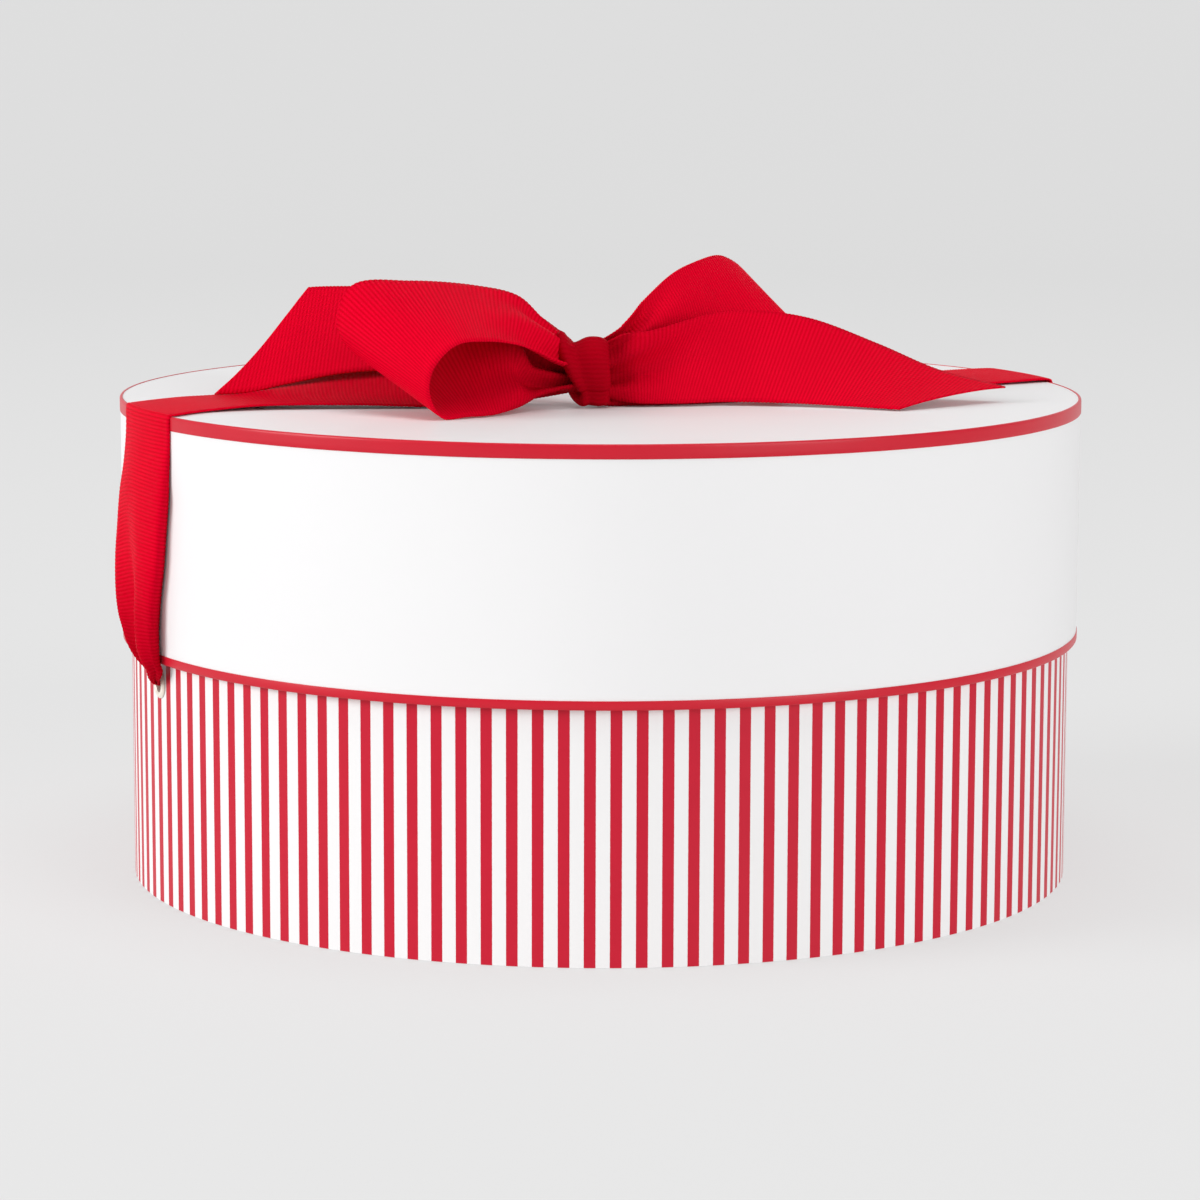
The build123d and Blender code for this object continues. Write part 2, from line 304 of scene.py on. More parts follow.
paperLooks = {
    "white_paper": {
        "color": (0.86, 0.855, 0.86), "tone": 0.012, "toneScale": 25.0, "wave": 0.5, "waveScale": 40.0,
        "fibre": 0.03, "roughness": 0.42, "shine": 0.35,
    },
    "lining_paper": {
        "color": (0.83, 0.82, 0.79), "tone": 0.03, "toneScale": 60.0, "wave": 0.4, "waveScale": 60.0,
        "fibre": 0.08, "roughness": 0.8, "shine": 0.2,
    },
    "underside_paper": {
        "color": (0.80, 0.79, 0.76), "tone": 0.04, "toneScale": 50.0, "wave": 0.4, "waveScale": 50.0,
        "fibre": 0.08, "roughness": 0.85, "shine": 0.2,
    },
    "greyboard": {
        "color": (0.42, 0.40, 0.36), "tone": 0.25, "toneScale": 260.0, "wave": 0.3, "waveScale": 90.0,
        "fibre": 0.12, "roughness": 0.95, "shine": 0.1,
    },
    "red_edging_paper": {
        "color": (0.62, 0.008, 0.026), "tone": 0.08, "toneScale": 90.0, "wave": 0.3, "waveScale": 60.0,
        "fibre": 0.05, "roughness": 0.4, "shine": 0.2, "glaze": 0.2, "glazeRoughness": 0.22,
    },
}


def eyeletEnamel():
    # ivory enamel on a rolled brass eyelet, in random patches of two tones
    material, nodes, links, shader = newMaterial("eyeletEnamel")
    coords = addNode(nodes, "ShaderNodeTexCoord").outputs["Object"]
    patch = noiseNode(nodes, links, coords, 700.0, 3.0)
    ivory = mixColors(nodes, links, patch, (0.80, 0.72, 0.60), (0.90, 0.84, 0.75))
    links.new(ivory, shader.inputs["Base Color"])
    links.new(bumpNode(nodes, links, patch, 0.00003, 0.4), shader.inputs["Normal"])
    shader.inputs["Roughness"].default_value = 0.3
    shader.inputs["Coat Weight"].default_value = 0.4
    shader.inputs["Coat Roughness"].default_value = 0.15
    return material


materials = {name: plainPaper(name, look) for name, look in paperLooks.items()}
materials["striped_paper"] = stripedPaper()
materials["eyelet_enamel"] = eyeletEnamel()

for row in frame["record"]["subparts"]:
    if row["material_slot"] in materials:
        slots = frame["nodes"][row["node"]].data.materials
        slots.clear()
        slots.append(materials[row["material_slot"]])
print("hat box: paper, board and eyelets")


# Grosgrain ribbon

ribbon = {
    "width": 44.0,
    "ribPitch": 1.28,
    "ribHeight": 0.17,
    "thickness": 0.42,
    "rowsPerRib": 4,
    "columns": 18,
    "red": (0.70, 0.0004, 0.017),
    # the groove colour is painted shade in the rib grooves, the crest colour a painted highlight on the rib
    # tops
    "paintedGrooveShade": (0.56, 0.0002, 0.010),
    "crest": (0.78, 0.001, 0.024),
    "faded": 0.88,  # how much of the colour is left where the dye is thin
    "paintedShadeFactor": 0.55,  # colour left in the painted shade at the knot and where the cloth is tucked in
    "threadPitch": 0.32,
    "roughness": 0.42,
    "shine": 0.008,
}


def ribbonFabric():
    # UV is millimetres: u across the ribbon, v along it
    material, nodes, links, shader = newMaterial("redGrosgrain")
    uv = addNode(nodes, "ShaderNodeUVMap", uv_map="UVMap").outputs[0]
    axes = addNode(nodes, "ShaderNodeSeparateXYZ")
    links.new(uv, axes.inputs[0])
    coords = addNode(nodes, "ShaderNodeTexCoord").outputs["Object"]
    rib = mathNode(nodes, links, "SINE", mathNode(nodes, links, "MULTIPLY", axes.outputs["Y"],
                                                  math.pi / ribbon["ribPitch"]))
    rib = mathNode(nodes, links, "POWER", mathNode(nodes, links, "ABSOLUTE", rib), 0.7)
    thread = mathNode(nodes, links, "SINE", mathNode(nodes, links, "MULTIPLY", axes.outputs["X"],
                                                     2 * math.pi / ribbon["threadPitch"]))
    dye = noiseNode(nodes, links, coords, 60.0, 3.0)
    fluff = noiseNode(nodes, links, coords, 2600.0, 2.0)
    # painted shade in the rib grooves and a painted highlight on the rib tops, in step with the raised ribs
    cloth = mixColors(nodes, links, rib, ribbon["paintedGrooveShade"], ribbon["red"])
    top = mathNode(nodes, links, "POWER", rib, 5.0)
    cloth = mixColors(nodes, links, top, cloth, ribbon["crest"])
    faded = tuple(c * ribbon["faded"] for c in ribbon["red"])
    dyed = mixColors(nodes, links, stretchTo(nodes, links, dye, 0.35, 0.75, 0.0, 0.35), cloth, faded)
    # painted shade from the per-vertex shade attribute, deepest at the knot and on the tucked-in run
    shade = addNode(nodes, "ShaderNodeAttribute", attribute_name="paintedShade").outputs["Fac"]
    deep = tuple(c * ribbon["paintedShadeFactor"] for c in ribbon["paintedGrooveShade"])
    links.new(mixColors(nodes, links, shade, dyed, deep), shader.inputs["Base Color"])
    weave = bumpNode(nodes, links, thread, 0.00003, 0.5)
    links.new(bumpNode(nodes, links, fluff, 0.00005, 0.35, weave), shader.inputs["Normal"])
    shader.inputs["Roughness"].default_value = ribbon["roughness"]
    shader.inputs["Specular IOR Level"].default_value = ribbon["shine"]
    return material


def socketIn(tree, name, kind, value=None):
    socket = tree.interface.new_socket(name, in_out="INPUT", socket_type=kind)
    if value is not None:
        socket.default_value = value
    return socket


def grosgrainTree():
    # gives a strip its thickness and raises a rib every "Rib Pitch" along it
    tree = bpy.data.node_groups.new("grosgrain", "GeometryNodeTree")
    socketIn(tree, "Strip", "NodeSocketGeometry")
    socketIn(tree, "Rib Pitch", "NodeSocketFloat", ribbon["ribPitch"])
    socketIn(tree, "Rib Height", "NodeSocketFloat", ribbon["ribHeight"] * mm)
    socketIn(tree, "Thickness", "NodeSocketFloat", ribbon["thickness"] * mm)
    socketIn(tree, "Cloth", "NodeSocketMaterial")
    tree.interface.new_socket("Ribbon", in_out="OUTPUT", socket_type="NodeSocketGeometry")
    nodes, links = tree.nodes, tree.links
    given = nodes.new("NodeGroupInput")
    result = nodes.new("NodeGroupOutput")
    raised = nodes.new("GeometryNodeExtrudeMesh")
    raised.inputs["Individual"].default_value = False
    links.new(given.outputs["Strip"], raised.inputs["Mesh"])
    links.new(given.outputs["Thickness"], raised.inputs["Offset Scale"])
    back = nodes.new("GeometryNodeFlipFaces")
    links.new(given.outputs["Strip"], back.inputs["Mesh"])
    both = nodes.new("GeometryNodeJoinGeometry")
    links.new(raised.outputs["Mesh"], both.inputs[0])
    links.new(back.outputs["Mesh"], both.inputs[0])
    closed = nodes.new("GeometryNodeMergeByDistance")
    closed.inputs["Distance"].default_value = 0.00001
    links.new(both.outputs[0], closed.inputs["Geometry"])
    along = nodes.new("GeometryNodeInputNamedAttribute")
    along.data_type = "FLOAT"
    along.inputs["Name"].default_value = "alongMm"

    def calc(operation, first, second):
        node = nodes.new("ShaderNodeMath")
        node.operation = operation
        for socket, value in zip(node.inputs, (first, second)):
            if hasattr(value, "links"):
                links.new(value, socket)
            elif value is not None:
                socket.default_value = value
        return node.outputs[0]

    ribs = calc("DIVIDE", along.outputs["Attribute"], given.outputs["Rib Pitch"])
    phase = calc("MULTIPLY", ribs, math.pi)
    crest = calc("POWER", calc("ABSOLUTE", calc("SINE", phase, None), None), 0.8)
    height = calc("MULTIPLY", crest, given.outputs["Rib Height"])
    outward = nodes.new("ShaderNodeVectorMath")
    outward.operation = "SCALE"
    normal = nodes.new("GeometryNodeInputNormal")
    links.new(normal.outputs["Normal"], outward.inputs[0])
    links.new(height, outward.inputs["Scale"])
    ribbed = nodes.new("GeometryNodeSetPosition")
    links.new(closed.outputs["Geometry"], ribbed.inputs["Geometry"])
    links.new(outward.outputs[0], ribbed.inputs["Offset"])
    smooth = nodes.new("GeometryNodeSetShadeSmooth")
    links.new(ribbed.outputs["Geometry"], smooth.inputs["Geometry"])
    real = nodes.new("GeometryNodeRealizeInstances")
    links.new(smooth.outputs["Geometry"], real.inputs["Geometry"])
    dressed = nodes.new("GeometryNodeSetMaterial")
    links.new(real.outputs["Geometry"], dressed.inputs["Geometry"])
    links.new(given.outputs["Cloth"], dressed.inputs["Material"])
    links.new(dressed.outputs["Geometry"], result.inputs[0])
    return tree


def curveThrough(points, perSpan):
    # centripetal Catmull-Rom through the points, perSpan steps between each two
    points = np.asarray(points, float)
    first = 2 * points[0] - points[1]
    last = 2 * points[-1] - points[-2]
    p = np.concatenate([[first], points, [last]])
    steps = np.linalg.norm(np.diff(p, axis=0).reshape(len(p) - 1, -1), axis=1)
    gaps = np.maximum(steps, 1e-6) ** 0.5
    t = np.concatenate([[0.0], np.cumsum(gaps)])
    out = []
    for i in range(1, len(p) - 2):
        ends = np.linspace(t[i], t[i + 1], perSpan, endpoint=(i == len(p) - 3))
        for x in ends:
            a1 = ((t[i] - x) * p[i - 1] + (x - t[i - 1]) * p[i]) / (t[i] - t[i - 1])
            a2 = ((t[i + 1] - x) * p[i] + (x - t[i]) * p[i + 1]) / (t[i + 1] - t[i])
            a3 = ((t[i + 2] - x) * p[i + 1] + (x - t[i + 1]) * p[i + 2]) / (t[i + 2] - t[i + 1])
            b1 = ((t[i + 1] - x) * a1 + (x - t[i - 1]) * a2) / (t[i + 1] - t[i - 1])
            b2 = ((t[i + 2] - x) * a2 + (x - t[i]) * a3) / (t[i + 2] - t[i])
            out.append(((t[i + 1] - x) * b1 + (x - t[i]) * b2) / (t[i + 1] - t[i]))
    return np.array(out)


def evenly(points, count):
    # the same polyline with evenly spaced points
    steps = np.linalg.norm(np.diff(points, axis=0), axis=1)
    s = np.concatenate([[0.0], np.cumsum(steps)])
    at = np.linspace(0, s[-1], count)
    return np.stack([np.interp(at, s, points[:, k]) for k in range(points.shape[1])], axis=1)


def acrossRow(row, count):
    row = np.array(row, float)
    if len(row) == 2:
        share = np.linspace(0, 1, count)[:, None]
        return row[0] * (1 - share) + row[1] * share
    return evenly(curveThrough(row, 16), count)


def gridNormals(grid):
    along = np.gradient(grid, axis=0)
    across = np.gradient(grid, axis=1)
    n = np.cross(along, across)
    return n / np.maximum(np.linalg.norm(n, axis=2, keepdims=True), 1e-9)


def pleatDepth(width, number, takeUp):
    # how deep the waves are that take up a share of the ribbon's missing width
    spare = np.maximum(ribbon["width"] / width - 1.0, 0.0)
    stretch = 1.0 + takeUp * spare
    slope = np.sqrt((stretch ** 2 - 1.0) / 0.45)
    return slope * width / number / (2 * math.pi)


def ribbonSurface(rows, pleats=None, endCut=(0.0, 0.0), columns=None, shades=None):
    # rows: points across the ribbon, near edge first. pleats: for each row, the share of the missing
    # width that the pleats take up, how many they are, and where they start. endCut: the lengths taken
    # off the near and the far edge at the end. shades: how deep the painted shade is at each row.
    count = (columns or ribbon["columns"]) + 1
    table = np.stack([acrossRow(row, count) for row in rows])
    fine = curveThrough(table.reshape(len(rows), -1), 40).reshape(-1, count, 3)
    middle = fine.mean(axis=1)
    s = np.concatenate([[0.0], np.cumsum(np.linalg.norm(np.diff(middle, axis=0), axis=1))])
    rowAt = np.linspace(0, len(rows) - 1, len(s))
    length = s[-1]
    steps = int(round(length / ribbon["ribPitch"] * ribbon["rowsPerRib"]))
    grid = np.zeros((steps + 1, count, 3))
    along = np.zeros((steps + 1, count))
    rowShare = np.zeros((steps + 1, count))
    share = np.linspace(0, 1, count)
    for k in range(count):
        end = length - endCut[0] * (1 - share[k]) - endCut[1] * share[k]
        at = np.linspace(0.0, end, steps + 1)
        along[:, k] = at
        rowShare[:, k] = np.interp(at, s, rowAt)
        for axis in range(3):
            grid[:, k, axis] = np.interp(at, s, fine[:, k, axis])
    if pleats:
        index = np.arange(len(pleats))
        takeUp, number, phase = (np.interp(rowShare, index, [p[i] for p in pleats]) for i in range(3))
        width = np.linalg.norm(np.diff(grid, axis=1), axis=2).sum(axis=1)[:, None]
        depth = pleatDepth(width, number, takeUp)
        wave = np.sin(2 * math.pi * (number * share[None, :] + phase)) * depth
        grid = grid + gridNormals(grid) * wave[:, :, None]
    # painted shade for each row, carried into the vertices
    shade = np.interp(rowShare, np.arange(len(rows)), shades if shades else [0.0] * len(rows))
    return grid, along, share * ribbon["width"], shade


def stripMesh(name, grid, along, across, shade):
    rows, count = along.shape
    index = np.arange(rows * count).reshape(rows, count)
    faces = np.stack([index[:-1, :-1], index[:-1, 1:], index[1:, 1:], index[1:, :-1]], axis=-1).reshape(-1, 4)
    mesh = bpy.data.meshes.new(name)
    mesh.from_pydata((grid.reshape(-1, 3) * mm).tolist(), [], faces.tolist())
    attribute = mesh.attributes.new("alongMm", "FLOAT", "POINT")
    attribute.data.foreach_set("value", along.reshape(-1).astype(np.float32))
    attribute = mesh.attributes.new("paintedShade", "FLOAT", "POINT")
    attribute.data.foreach_set("value", shade.reshape(-1).astype(np.float32))
    uvLayer = mesh.uv_layers.new(name="UVMap")
    corners = np.zeros(len(mesh.loops), dtype=np.int32)
    mesh.loops.foreach_get("vertex_index", corners)
    uv = np.stack([np.tile(across, rows), along.reshape(-1)], axis=1)[corners]
    uvLayer.data.foreach_set("uv", uv.reshape(-1).astype(np.float32))
    return mesh


ribbonCloth = ribbonFabric()
ribbonTree = grosgrainTree()


def ribbonPiece(name, rows, **shape):
    grid, along, across, shade = ribbonSurface(rows, **shape)
    strip = bpy.data.objects.new(name, stripMesh(name + "Strip", grid, along, across, shade))
    bpy.context.collection.objects.link(strip)
    modifier = strip.modifiers.new("grosgrain", "NODES")
    modifier.node_group = ribbonTree
    modifier[ribbonTree.interface.items_tree["Cloth"].identifier] = ribbonCloth
    bpy.context.view_layer.update()
    solid = bpy.data.meshes.new_from_object(strip.evaluated_get(bpy.context.evaluated_depsgraph_get()))
    solid.name = name
    strip.modifiers.remove(modifier)
    plain = strip.data
    strip.data = solid
    bpy.data.meshes.remove(plain)
    length = float(along.max() - along.min())
    print("hat box:", name, "length", round(length), "mm, faces", len(solid.polygons))
    return strip, length


# Ribbon from each eyelet, up the wall and over the lid

sideRibbons = {
    # out from the edging, half width and half height of the gathered neck in the eyelet
    "neck": [
        (-9.0, 1.6, 0.4),
        (-4.5, 1.6, 0.4),
        (-2.4, 1.9, 0.6),
    ],
    # z, then (round the wall from the eyelet towards the photo side, out from the edging, lift)
    # from the near edge to the far edge
    "drop": [
        (76.5, (5.0, -0.6, 0), (5.5, 0.8, 0), (3.5, 1.4, 0), (1.5, 0.8, 0), (-0.5, -0.4, 0)),
        (80.0, (9.0, 0.0, 0), (9.5, 2.2, 0), (6.0, 3.0, 0), (2.5, 2.0, 0), (-1.0, 1.6, 0)),
        (83.0, (8.5, 0.9, 0), (11.0, 3.6, 0), (6.5, 5.0, 0), (1.5, 1.8, 0), (-4.5, 3.6, 0)),
        (87.0, (8.0, 0.8, 0), (11.5, 4.4, 0), (6.0, 6.4, 0), (-1.0, 0.9, 0), (-10.0, 4.8, 0)),
        (92.0, (8.0, 0.7, 0), (11.5, 4.8, 0), (5.5, 7.0, 0), (-4.0, 0.8, 0), (-15.0, 5.2, 0)),
        (98.0, (8.5, 0.6, -1), (11.5, 4.6, -0.5), (4.5, 6.9, 0), (-7.0, 0.9, 0), (-19.0, 5.4, -2)),
        (106.0, (10.5, 0.6, -1.5), (12.5, 4.2, -1), (3.5, 6.4, 0), (-11.0, 1.6, 0), (-23.5, 5.4, -3)),
        (117.0, (13.5, 0.6, -1.5), (15.0, 3.6, -1), (3.5, 6.0, 0), (-12.0, 3.0, 0), (-25.0, 5.1, -3)),
        (128.0, (15.5, 0.6, -1.5), (16.5, 3.3, -1), (3.0, 5.2, 0), (-11.5, 4.0, 0), (-23.0, 4.7, -3)),
        (139.0, (17.5, 0.6, -1.0), (18.0, 3.0, -0.7), (3.0, 4.0, 0), (-10.0, 3.8, 0), (-23.0, 3.7, -2.5)),
        (148.0, (18.0, 0.6, -0.5), (16.5, 2.0, -0.5), (0.0, 2.6, 0), (-13.0, 2.4, 0), (-25.0, 1.8, -2)),
        (156.0, (18.0, 0.6, 0), (9.0, 1.0, 0), (-3.0, 1.2, 0), (-14.0, 1.0, 0), (-25.5, 0.8, -1)),
        (161.0, (18.0, 0.5, 0), (7.5, 0.6, 0), (-4.0, 0.6, 0), (-15.0, 0.6, 0), (-26.0, 0.5, 0)),
        (163.8, (18.0, 0.5, 0), (7.0, 0.5, 0), (-4.0, 0.5, 0), (-15.0, 0.5, 0), (-26.0, 0.5, 0)),
    ],
    # out from the edging and up from the lid's top, over the rim
    "corner": [(0.15, 0.35), (-1.2, 0.6)],
    # points above the lid, to the knot
    "leftRun": [
        [(-129, -73, 0.8), (-136, -52, 1.0), (-143, -31, 0.8)],
        [(-114, -65, 1.6), (-120, -44, 1.4), (-125, -22, 1.4)],
        [(-98, -62, 1.8), (-102, -42, 2.4), (-105, -22, 5.8)],
        [(-80, -60, 1.6), (-83, -41, 2.8), (-85, -22, 9.8)],
        [(-52, -57, 1.0), (-53, -44, 2.2), (-54, -28, 9.0)],
        [(-28, -49, 2.8), (-28, -43, 4.2), (-28, -37, 6.0)],
        [(-7, -49, 6.5), (-7, -47, 7.5), (-7, -45, 8.5)],
    ],
    "rightRun": [
        [(140, 28, 0.6), (131, 48, 1.2), (122, 68, 0.8)],
        [(105, 4, 0.6), (98, 22, 1.2), (92, 40, 0.8)],
        [(70, -20, 0.6), (65, -4, 1.2), (60, 12, 0.8)],
        [(35, -38, 0.8), (32, -27, 1.5), (30, -16, 0.8)],
        [(-1, -50, 2.0), (-1, -47.5, 2.4), (-1, -45, 2.6)],
    ],
    "neckLift": 0.6,
    "leftRimShift": 0.0,
    "rightRimShift": 15.5,
    "pleatTakeUp": (0.3, 0.3, 0.2, 0.1, 0.1, 0.12, 0.12, 0.1, 0.1),  # from the eyelet up
    "pleatCount": 3.0,
    "knotTakeUp": 0.5,
    "pleatStart": 0.1,
    "columns": 26,
    # painted shade on the side ribbons: in the folds by the eyelet, on the run under the bow and at the knot
    "footShades": [(5, 0.5), (8, 0.35), (10, 0.0)],  # row from the eyelet, depth of painted shade
    "runShades": [(0, 0.0), (2, 0.4)],  # row from the rim, depth of painted shade
    "knotShade": 0.6,
    "stretchFrom": 84.0,  # the z where the lid starts to take the ribbon along
    "stretchTo": 163.0,
}


def wallPoint(side, around, out, z):
    # side is -1 at the left eyelet and 1 at the right one
    radius = rimRadius + out
    a = around / rimRadius
    return np.array([side * radius * math.cos(a), -radius * math.sin(a), z])


def sideRibbonRows(side, rimShift, run):
    # rimShift moves the ribbon round the wall at the rim, and less towards the eyelet
    rows = []
    gathered = [(-1, 0), (-0.5, 1), (0, -1), (0.5, 1), (1, 0)]
    neckZ = eyeletZ + sideRibbons["neckLift"]
    for out, halfWide, halfHigh in sideRibbons["neck"]:
        rows.append([wallPoint(side, -a * halfWide, out, neckZ + b * halfHigh) for a, b in gathered])
    for z, *points in sideRibbons["drop"]:
        shift = rimShift * (z - eyeletZ) / (lidTop - eyeletZ)
        rows.append([wallPoint(side, around + shift, out, z + lift) for around, out, lift in points])
    rim = [around + rimShift for around, _, _ in sideRibbons["drop"][-1][1:]]
    for out, up in sideRibbons["corner"]:
        rows.append([wallPoint(side, around, out, lidTop + up) for around in rim])
    for line in run:
        rows.append(acrossRow([onLid(*p) for p in line], 5))
    return rows


def sideRibbon(word, side):
    run = sideRibbons[word + "Run"]
    rows = sideRibbonRows(side, sideRibbons[word + "RimShift"], run)
    count, start = sideRibbons["pleatCount"], sideRibbons["pleatStart"]
    pleats = [(0.0, count, start)] * len(rows)
    for i, takeUp in enumerate(sideRibbons["pleatTakeUp"]):
        pleats[i] = (takeUp, count, start)
    pleats[-2:] = [(sideRibbons["knotTakeUp"], count, 0.0)] * 2
    rimRow = len(rows) - len(run)
    tones = sideRibbons["footShades"] + [(rimRow + i, tone) for i, tone in sideRibbons["runShades"]]
    tones.append((len(rows) - 1, sideRibbons["knotShade"]))
    shades = list(np.interp(range(len(rows)), [i for i, _ in tones], [tone for _, tone in tones]))
    piece, length = ribbonPiece(word + "Ribbon", rows, pleats=pleats, columns=sideRibbons["columns"],
                                shades=shades)
    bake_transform(piece)
    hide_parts(word + "_ribbon_drop", word + "_ribbon_run")


sideRibbon("left", -1)
sideRibbon("right", 1)
print("hat box: ribbon at the sides")


# The bow

# each piece's shades: depth of painted shade per row, deepest next to the knot
bow = {
    "leftLoop": {
        "rows": [
            [(-5, -55, 13), (-5, -47, 18)],
            [(-14, -61, 16), (-13, -45, 23)],
            [(-21, -69, 20), (-20, -43, 29)],
            [(-28, -77, 23), (-28, -42, 36)],
            [(-37, -84, 24.5), (-42, -43, 39.3)],
            [(-47, -90, 23.5), (-63, -53, 41.5)],
            [(-54, -94, 16), (-82, -61, 40.5)],
            [(-55, -96, 8), (-86, -68, 27)],
            [(-51, -95, 1.0), (-76, -64, 16)],
            [(-43, -89, 0.8), (-62, -54, 20)],
            [(-34, -82, 0.8), (-44, -52, 27)],
            [(-27, -72, 1.8), (-29, -55, 26)],
            [(-22, -62, 3.5), (-25, -50, 20)],
            [(-14, -56, 5), (-15, -48, 15)],
            [(-5, -54, 6), (-5, -46, 10)],
        ],
        "pleats": [(0.35, 1.5, 0.0), (0.25, 1.5, 0.0), (0.2, 1.5, 0), (0.1, 1.5, 0), (0, 1.5, 0), (0, 1.5, 0),
                   (0, 1.5, 0), (0, 1.5, 0), (0, 1.5, 0), (0, 1.5, 0), (0, 1.5, 0), (0.1, 1.5, 0),
                   (0.4, 2.2, 0.1), (0.6, 2.5, 0.1), (0.6, 2.5, 0.1)],
        "shades": [0.35, 0.1, 0, 0, 0, 0, 0, 0, 0, 0.1, 0.2, 0.3, 0.5, 0.7, 0.8],
    },
    "rightLoop": {
        "rows": [
            [(-3, -46, 13), (-3, -42, 19)],
            [(6, -40, 14), (6, -36, 25)],
            [(18, -37, 11), (15, -26, 33.5)],
            [(34, -31, 12), (24, -12, 41.5)],
            [(48, -20, 17), (33, 3, 45)],
            [(60, -10, 25), (43, 20, 45.5)],
            [(66, -6, 25), (50, 26, 40)],
            [(65, -4, 15), (50, 27, 30)],
            [(59, -12, 4), (43, 18, 17)],
            [(34, -30, 2.4), (22, -6, 11)],
            [(6, -41, 5), (6, -36, 10)],
            [(-3, -46, 5), (-3, -42, 9)],
        ],
        "pleats": [(0.35, 2.0, 0.3), (0.3, 2.0, 0.3), (0.25, 1.6, 0.3), (0.1, 1.5, 0.3), (0, 1.5, 0.3),
                   (0, 1.5, 0.3), (0, 1.5, 0.3), (0, 1.5, 0.3), (0.1, 1.5, 0.3), (0.5, 2.0, 0.3),
                   (0.6, 2.5, 0.3), (0.6, 2.5, 0.3)],
        "shades": [0.5, 0.2, 0.1, 0, 0, 0, 0, 0, 0, 0.3, 0.6, 0.8],
    },
    "leftTail": {
        "rows": [
            [(-5, -46, 8), (-5, -42, 17)],
            [(-26, -34, 9), (-26, -18, 30)],
            [(-56, -28, 10), (-56, 2, 36)],
            [(-85, -30, 9.2), (-83, 6, 35.5)],
            [(-106, -29, 5.2), (-103, 6, 34.8)],
            [(-119, -27, 2.2), (-114, 6, 32)],
            [(-132, -27, 1.2), (-124, 8, 30)],
        ],
        "pleats": [(0.6, 2.5, 0), (0.5, 1.8, 0), (0.1, 1.5, 0), (0, 1.5, 0), (0, 1.5, 0), (0, 1.5, 0),
                   (0, 1.5, 0)],
        "endCut": (1.0, 26.0),
        "shades": [0.6, 0.15, 0, 0, 0, 0, 0],
    },
    "rightTail": {
        "rows": [
            [(-3, -52, 4), (-3, -49, 12), (-3, -50, 18)],
            [(5, -50, 2), (4, -46, 11), (5, -49, 22.5)],
            [(13, -51, 1.2), (13, -46, 12), (16, -46, 24.5)],
            [(27, -49, 1.2), (31, -39, 14), (37, -27, 29)],
            [(42, -46, 1.5), (53, -18, 29.5)],
            [(60, -48, 1.5), (72, -13, 26.5)],
            [(80, -54, 1.2), (95, -14, 18)],
            [(98, -62, 0.9), (115, -22, 10)],
            [(118, -71, 0.9), (137, -30, 5)],
        ],
        "pleats": [(0.4, 2.0, 0), (0.3, 2.0, 0), (0.1, 1.6, 0), (0, 1.5, 0), (0, 1.5, 0), (0, 1.5, 0),
                   (0, 1.5, 0), (0, 1.5, 0), (0, 1.5, 0)],
        "endCut": (22.0, 0.0),
        "shades": [0.8, 0.7, 0.25, 0, 0, 0, 0, 0, 0],
    },
}


def bowRibbon(name, node):
    shape = dict(bow[name])
    rows = [[onLid(*p) for p in row] for row in shape.pop("rows")]
    piece, length = ribbonPiece(name, rows, **shape)
    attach(piece, "lid")
    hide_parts(node)


bowRibbon("leftLoop", "bow_left_loop")
bowRibbon("rightLoop", "bow_right_loop")
bowRibbon("leftTail", "bow_left_tail")
bowRibbon("rightTail", "bow_right_tail")


# The knot is a band of the ribbon with both its edges folded under, wound once round and tucked in.

knot = {
    "centre": (-5, -50, 11.8),
    "radii": (7.0, 9.8),
    # along the knot's axis and out from its round
    "fold": [(3, -2.6), (-6, -2.4), (-8.2, -1.0), (-6.8, 0.6), (-3, 0.6), (2, 0.8), (6.5, 0.4), (8, -1.0),
             (5, -3.4), (-3, -3.8)],
    # degrees from the front over the top, out, along the axis, breadth, height of the ridge on the left
    "turn": [
        (-110, -5.0, 1.0, 0.6, 0.0),
        (-70, -4.0, 2.0, 0.6, 0.0),
        (-35, -0.6, 2.6, 0.65, 0.2),
        (0, 0.0, 1.0, 0.85, 0.4),
        (40, 0.5, -0.6, 1.0, 1.4),
        (85, 0.4, -1.2, 1.05, 2.4),
        (130, 0.0, -0.8, 1.0, 1.2),
        (180, 0.0, 0.0, 0.9, 0.3),
        (230, 0.0, 1.0, 0.8, 0.0),
        (270, 0.0, 2.0, 0.7, 0.0),
        (300, 1.4, 3.0, 0.55, 0.4),
        (325, -1.5, 3.0, 0.5, 0.2),
    ],
    "columns": 40,
    # painted shade over the whole knot band, used for the stop knots too
    "shade": 0.8,
    "stopRadii": (3.2, 3.8),
    "stopScale": 0.88,
    "stopRidge": 0.2,
}


def bandRows(centre, radii, scale, turn):
    rows = []
    for angle, out, shift, breadth, ridge in turn:
        a = math.radians(angle)
        row = []
        for i, (w, d) in enumerate(knot["fold"]):
            if i == 3:
                d = d + ridge
            elif i == 4:
                d = d - ridge * 0.7
            reach = (d + out) * scale
            row.append((centre[0] + (w * breadth + shift) * scale,
                        centre[1] - (radii[0] + reach) * math.cos(a),
                        centre[2] + (radii[1] + reach) * math.sin(a)))
        rows.append(row)
    return rows


def bandKnot(name, rows, body, node):
    piece, length = ribbonPiece(name, rows, columns=knot["columns"], shades=[knot["shade"]] * len(rows))
    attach(piece, body)
    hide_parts(node)


knotRows = bandRows(knot["centre"], knot["radii"], 1.0, knot["turn"])
knotRows = [[onLid(*p) for p in row] for row in knotRows]
bandKnot("bowKnot", knotRows, "lid", "bow_knot")
print("hat box: bow")


# Stop knots inside the base

for side, word in ((-1, "left"), (1, "right")):
    low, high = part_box(word + "_stop_knot")
    middle = [(a + b) / 2 / mm for a, b in zip(low, high)]
    turn = [(angle, out, 0.0, 1.0, knot["stopRidge"]) for angle, out, *_ in knot["turn"]]
    rows = bandRows(middle, knot["stopRadii"], knot["stopScale"], turn)
    bandKnot(word + "StopKnot", rows, "base", word + "_stop_knot")
print("hat box: stop knots")


# Red edging

